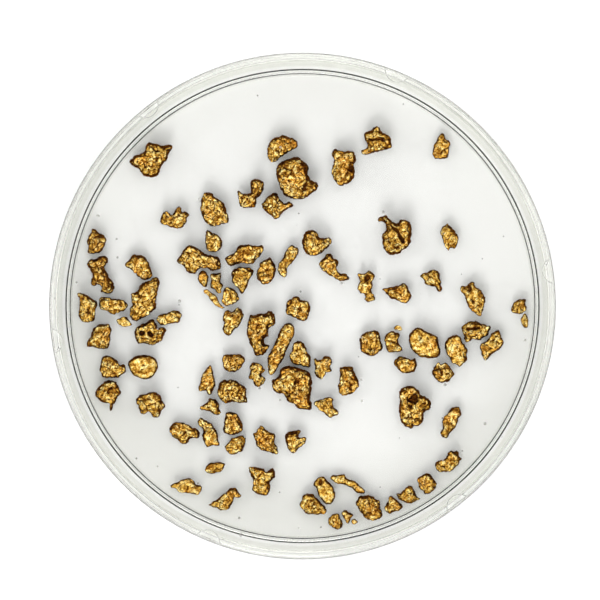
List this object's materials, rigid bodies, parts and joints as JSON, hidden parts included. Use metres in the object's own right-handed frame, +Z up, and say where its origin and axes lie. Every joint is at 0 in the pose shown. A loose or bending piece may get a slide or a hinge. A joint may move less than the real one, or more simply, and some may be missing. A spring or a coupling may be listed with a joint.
{
  "type": "lidded petri dish of gold nuggets",
  "caption": "Shallow clear plastic dish with a loose lid, holding loose natural gold nuggets as a collector's or prospector's sample",
  "frame": {"origin": "centre of the base's underside, on the table", "axes": "+Z up through the dish's centre, +X to the right and +Y to the back as seen from above"},
  "size_m": [0.095, 0.095, 0.0164],
  "materials": {
    "clear_base": "clear polystyrene, polished, finely scratched",
    "clear_lid": "clear polystyrene, polished, finely scratched",
    "native_gold": "water-worn, grained, brown in the hollows"
  },
  "bodies": {
    "base": {"dish_base": "clear_base"},
    "lid": {"dish_lid": "clear_lid"},
    "nugget_01": {"nugget_01": "native_gold"},
    "nugget_02": {"nugget_02": "native_gold"},
    "nugget_03": {"nugget_03": "native_gold"},
    "nugget_04": {"nugget_04": "native_gold"},
    "nugget_05": {"nugget_05": "native_gold"},
    "nugget_06": {"nugget_06": "native_gold"},
    "nugget_07": {"nugget_07": "native_gold"},
    "nugget_08": {"nugget_08": "native_gold"},
    "nugget_09": {"nugget_09": "native_gold"},
    "nugget_10": {"nugget_10": "native_gold"},
    "nugget_11": {"nugget_11": "native_gold"},
    "nugget_12": {"nugget_12": "native_gold"},
    "nugget_13": {"nugget_13": "native_gold"},
    "nugget_14": {"nugget_14": "native_gold"},
    "nugget_15": {"nugget_15": "native_gold"},
    "nugget_16": {"nugget_16": "native_gold"},
    "nugget_17": {"nugget_17": "native_gold"},
    "nugget_18": {"nugget_18": "native_gold"},
    "nugget_19": {"nugget_19": "native_gold"},
    "nugget_20": {"nugget_20": "native_gold"},
    "nugget_21": {"nugget_21": "native_gold"},
    "nugget_22": {"nugget_22": "native_gold"},
    "nugget_23": {"nugget_23": "native_gold"},
    "nugget_24": {"nugget_24": "native_gold"},
    "nugget_25": {"nugget_25": "native_gold"},
    "nugget_26": {"nugget_26": "native_gold"},
    "nugget_27": {"nugget_27": "native_gold"},
    "nugget_28": {"nugget_28": "native_gold"},
    "nugget_29": {"nugget_29": "native_gold"},
    "nugget_30": {"nugget_30": "native_gold"},
    "nugget_31": {"nugget_31": "native_gold"},
    "nugget_32": {"nugget_32": "native_gold"},
    "nugget_33": {"nugget_33": "native_gold"},
    "nugget_34": {"nugget_34": "native_gold"},
    "nugget_35": {"nugget_35": "native_gold"},
    "nugget_36": {"nugget_36": "native_gold"},
    "nugget_37": {"nugget_37": "native_gold"},
    "nugget_38": {"nugget_38": "native_gold"},
    "nugget_39": {"nugget_39": "native_gold"},
    "nugget_40": {"nugget_40": "native_gold"},
    "nugget_41": {"nugget_41": "native_gold"},
    "nugget_42": {"nugget_42": "native_gold"},
    "nugget_43": {"nugget_43": "native_gold"},
    "nugget_44": {"nugget_44": "native_gold"},
    "nugget_45": {"nugget_45": "native_gold"},
    "nugget_46": {"nugget_46": "native_gold"},
    "nugget_47": {"nugget_47": "native_gold"},
    "nugget_48": {"nugget_48": "native_gold"},
    "nugget_49": {"nugget_49": "native_gold"},
    "nugget_50": {"nugget_50": "native_gold"},
    "nugget_51": {"nugget_51": "native_gold"},
    "nugget_52": {"nugget_52": "native_gold"},
    "nugget_53": {"nugget_53": "native_gold"},
    "nugget_54": {"nugget_54": "native_gold"},
    "nugget_55": {"nugget_55": "native_gold"},
    "nugget_56": {"nugget_56": "native_gold"},
    "nugget_57": {"nugget_57": "native_gold"},
    "nugget_58": {"nugget_58": "native_gold"}
  },
  "joints": [
    {"name": "lid_lift", "type": "slide", "parent": "base", "child": "lid", "axis": [0, 0, 1], "range_m": [0, 0.03]},
    {"name": "nugget_01_hop", "type": "slide", "parent": "base", "child": "nugget_01", "axis": [0, 0, 1], "range_m": [0, 0.0097]},
    {"name": "nugget_02_hop", "type": "slide", "parent": "base", "child": "nugget_02", "axis": [0, 0, 1], "range_m": [0, 0.0094]},
    {"name": "nugget_03_hop", "type": "slide", "parent": "base", "child": "nugget_03", "axis": [0, 0, 1], "range_m": [0, 0.0103]},
    {"name": "nugget_04_hop", "type": "slide", "parent": "base", "child": "nugget_04", "axis": [0, 0, 1], "range_m": [0, 0.0101]},
    {"name": "nugget_05_hop", "type": "slide", "parent": "base", "child": "nugget_05", "axis": [0, 0, 1], "range_m": [0, 0.0111]},
    {"name": "nugget_06_hop", "type": "slide", "parent": "base", "child": "nugget_06", "axis": [0, 0, 1], "range_m": [0, 0.0105]},
    {"name": "nugget_07_hop", "type": "slide", "parent": "base", "child": "nugget_07", "axis": [0, 0, 1], "range_m": [0, 0.0109]},
    {"name": "nugget_08_hop", "type": "slide", "parent": "base", "child": "nugget_08", "axis": [0, 0, 1], "range_m": [0, 0.0106]},
    {"name": "nugget_09_hop", "type": "slide", "parent": "base", "child": "nugget_09", "axis": [0, 0, 1], "range_m": [0, 0.0102]},
    {"name": "nugget_10_hop", "type": "slide", "parent": "base", "child": "nugget_10", "axis": [0, 0, 1], "range_m": [0, 0.01]},
    {"name": "nugget_11_hop", "type": "slide", "parent": "base", "child": "nugget_11", "axis": [0, 0, 1], "range_m": [0, 0.0103]},
    {"name": "nugget_12_hop", "type": "slide", "parent": "base", "child": "nugget_12", "axis": [0, 0, 1], "range_m": [0, 0.0102]},
    {"name": "nugget_13_hop", "type": "slide", "parent": "base", "child": "nugget_13", "axis": [0, 0, 1], "range_m": [0, 0.0109]},
    {"name": "nugget_14_hop", "type": "slide", "parent": "base", "child": "nugget_14", "axis": [0, 0, 1], "range_m": [0, 0.0094]},
    {"name": "nugget_15_hop", "type": "slide", "parent": "base", "child": "nugget_15", "axis": [0, 0, 1], "range_m": [0, 0.0112]},
    {"name": "nugget_16_hop", "type": "slide", "parent": "base", "child": "nugget_16", "axis": [0, 0, 1], "range_m": [0, 0.0107]},
    {"name": "nugget_17_hop", "type": "slide", "parent": "base", "child": "nugget_17", "axis": [0, 0, 1], "range_m": [0, 0.0101]},
    {"name": "nugget_18_hop", "type": "slide", "parent": "base", "child": "nugget_18", "axis": [0, 0, 1], "range_m": [0, 0.0108]},
    {"name": "nugget_19_hop", "type": "slide", "parent": "base", "child": "nugget_19", "axis": [0, 0, 1], "range_m": [0, 0.0105]},
    {"name": "nugget_20_hop", "type": "slide", "parent": "base", "child": "nugget_20", "axis": [0, 0, 1], "range_m": [0, 0.0103]},
    {"name": "nugget_21_hop", "type": "slide", "parent": "base", "child": "nugget_21", "axis": [0, 0, 1], "range_m": [0, 0.011]},
    {"name": "nugget_22_hop", "type": "slide", "parent": "base", "child": "nugget_22", "axis": [0, 0, 1], "range_m": [0, 0.0108]},
    {"name": "nugget_23_hop", "type": "slide", "parent": "base", "child": "nugget_23", "axis": [0, 0, 1], "range_m": [0, 0.0105]},
    {"name": "nugget_24_hop", "type": "slide", "parent": "base", "child": "nugget_24", "axis": [0, 0, 1], "range_m": [0, 0.01]},
    {"name": "nugget_25_hop", "type": "slide", "parent": "base", "child": "nugget_25", "axis": [0, 0, 1], "range_m": [0, 0.0108]},
    {"name": "nugget_26_hop", "type": "slide", "parent": "base", "child": "nugget_26", "axis": [0, 0, 1], "range_m": [0, 0.0094]},
    {"name": "nugget_27_hop", "type": "slide", "parent": "base", "child": "nugget_27", "axis": [0, 0, 1], "range_m": [0, 0.011]},
    {"name": "nugget_28_hop", "type": "slide", "parent": "base", "child": "nugget_28", "axis": [0, 0, 1], "range_m": [0, 0.0109]},
    {"name": "nugget_29_hop", "type": "slide", "parent": "base", "child": "nugget_29", "axis": [0, 0, 1], "range_m": [0, 0.0109]},
    {"name": "nugget_30_hop", "type": "slide", "parent": "base", "child": "nugget_30", "axis": [0, 0, 1], "range_m": [0, 0.0104]},
    {"name": "nugget_31_hop", "type": "slide", "parent": "base", "child": "nugget_31", "axis": [0, 0, 1], "range_m": [0, 0.011]},
    {"name": "nugget_32_hop", "type": "slide", "parent": "base", "child": "nugget_32", "axis": [0, 0, 1], "range_m": [0, 0.0102]},
    {"name": "nugget_33_hop", "type": "slide", "parent": "base", "child": "nugget_33", "axis": [0, 0, 1], "range_m": [0, 0.0108]},
    {"name": "nugget_34_hop", "type": "slide", "parent": "base", "child": "nugget_34", "axis": [0, 0, 1], "range_m": [0, 0.0114]},
    {"name": "nugget_35_hop", "type": "slide", "parent": "base", "child": "nugget_35", "axis": [0, 0, 1], "range_m": [0, 0.0107]},
    {"name": "nugget_36_hop", "type": "slide", "parent": "base", "child": "nugget_36", "axis": [0, 0, 1], "range_m": [0, 0.0108]},
    {"name": "nugget_37_hop", "type": "slide", "parent": "base", "child": "nugget_37", "axis": [0, 0, 1], "range_m": [0, 0.0103]},
    {"name": "nugget_38_hop", "type": "slide", "parent": "base", "child": "nugget_38", "axis": [0, 0, 1], "range_m": [0, 0.0104]},
    {"name": "nugget_39_hop", "type": "slide", "parent": "base", "child": "nugget_39", "axis": [0, 0, 1], "range_m": [0, 0.0103]},
    {"name": "nugget_40_hop", "type": "slide", "parent": "base", "child": "nugget_40", "axis": [0, 0, 1], "range_m": [0, 0.0107]},
    {"name": "nugget_41_hop", "type": "slide", "parent": "base", "child": "nugget_41", "axis": [0, 0, 1], "range_m": [0, 0.0111]},
    {"name": "nugget_42_hop", "type": "slide", "parent": "base", "child": "nugget_42", "axis": [0, 0, 1], "range_m": [0, 0.0104]},
    {"name": "nugget_43_hop", "type": "slide", "parent": "base", "child": "nugget_43", "axis": [0, 0, 1], "range_m": [0, 0.0109]},
    {"name": "nugget_44_hop", "type": "slide", "parent": "base", "child": "nugget_44", "axis": [0, 0, 1], "range_m": [0, 0.0107]},
    {"name": "nugget_45_hop", "type": "slide", "parent": "base", "child": "nugget_45", "axis": [0, 0, 1], "range_m": [0, 0.0106]},
    {"name": "nugget_46_hop", "type": "slide", "parent": "base", "child": "nugget_46", "axis": [0, 0, 1], "range_m": [0, 0.0096]},
    {"name": "nugget_47_hop", "type": "slide", "parent": "base", "child": "nugget_47", "axis": [0, 0, 1], "range_m": [0, 0.0113]},
    {"name": "nugget_48_hop", "type": "slide", "parent": "base", "child": "nugget_48", "axis": [0, 0, 1], "range_m": [0, 0.0116]},
    {"name": "nugget_49_hop", "type": "slide", "parent": "base", "child": "nugget_49", "axis": [0, 0, 1], "range_m": [0, 0.0112]},
    {"name": "nugget_50_hop", "type": "slide", "parent": "base", "child": "nugget_50", "axis": [0, 0, 1], "range_m": [0, 0.0111]},
    {"name": "nugget_51_hop", "type": "slide", "parent": "base", "child": "nugget_51", "axis": [0, 0, 1], "range_m": [0, 0.0101]},
    {"name": "nugget_52_hop", "type": "slide", "parent": "base", "child": "nugget_52", "axis": [0, 0, 1], "range_m": [0, 0.0106]},
    {"name": "nugget_53_hop", "type": "slide", "parent": "base", "child": "nugget_53", "axis": [0, 0, 1], "range_m": [0, 0.0107]},
    {"name": "nugget_54_hop", "type": "slide", "parent": "base", "child": "nugget_54", "axis": [0, 0, 1], "range_m": [0, 0.0107]},
    {"name": "nugget_55_hop", "type": "slide", "parent": "base", "child": "nugget_55", "axis": [0, 0, 1], "range_m": [0, 0.0105]},
    {"name": "nugget_56_hop", "type": "slide", "parent": "base", "child": "nugget_56", "axis": [0, 0, 1], "range_m": [0, 0.0114]},
    {"name": "nugget_57_hop", "type": "slide", "parent": "base", "child": "nugget_57", "axis": [0, 0, 1], "range_m": [0, 0.011]},
    {"name": "nugget_58_hop", "type": "slide", "parent": "base", "child": "nugget_58", "axis": [0, 0, 1], "range_m": [0, 0.011]}
  ]
}
